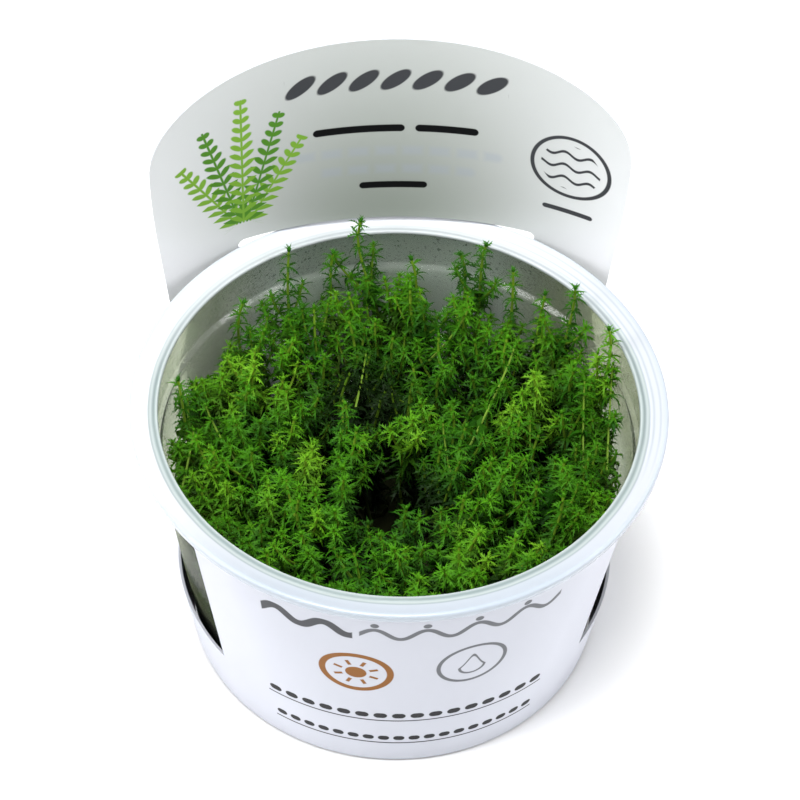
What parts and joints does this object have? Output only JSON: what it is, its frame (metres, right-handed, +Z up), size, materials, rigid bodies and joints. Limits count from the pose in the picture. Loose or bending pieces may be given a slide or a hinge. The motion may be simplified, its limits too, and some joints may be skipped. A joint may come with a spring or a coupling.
{
  "type": "tissue culture guyana milfoil",
  "caption": "Open clear culture cup packed with young whorled water milfoil shoots standing in nutrient gel, with a printed wrap-around sleeve whose rounded header stands up behind the rim.",
  "frame": {"origin": "centre of the cup's flat base", "axes": "+Z up along the cup's axis, +Y towards the header that stands up behind the rim"},
  "size_m": [0.1, 0.101, 0.103],
  "materials": {
    "cup": "clear, faintly misted inside",
    "sleeve": "satin printed sheet",
    "gel": "cloudy nutrient gel",
    "plant": "soft leaf green"
  },
  "bodies": {
    "root": {"cup": "cup", "sleeve": "sleeve", "gel": "gel", "plant_01": "plant", "plant_02": "plant", "plant_03": "plant", "plant_04": "plant", "plant_05": "plant", "plant_06": "plant", "plant_07": "plant", "plant_08": "plant", "plant_09": "plant", "plant_10": "plant", "plant_11": "plant", "plant_12": "plant", "plant_13": "plant", "plant_14": "plant", "plant_15": "plant", "plant_16": "plant", "plant_17": "plant", "plant_18": "plant", "plant_19": "plant", "plant_20": "plant", "plant_21": "plant", "plant_22": "plant", "plant_23": "plant", "plant_24": "plant", "plant_25": "plant", "plant_26": "plant", "plant_27": "plant", "plant_28": "plant", "plant_29": "plant", "plant_30": "plant", "plant_31": "plant", "plant_32": "plant", "plant_33": "plant", "plant_34": "plant", "plant_35": "plant", "plant_36": "plant", "plant_37": "plant", "plant_38": "plant", "plant_39": "plant", "plant_40": "plant", "plant_41": "plant", "plant_42": "plant", "plant_43": "plant", "plant_44": "plant", "plant_45": "plant", "plant_46": "plant", "plant_47": "plant"}
  },
  "joints": []
}
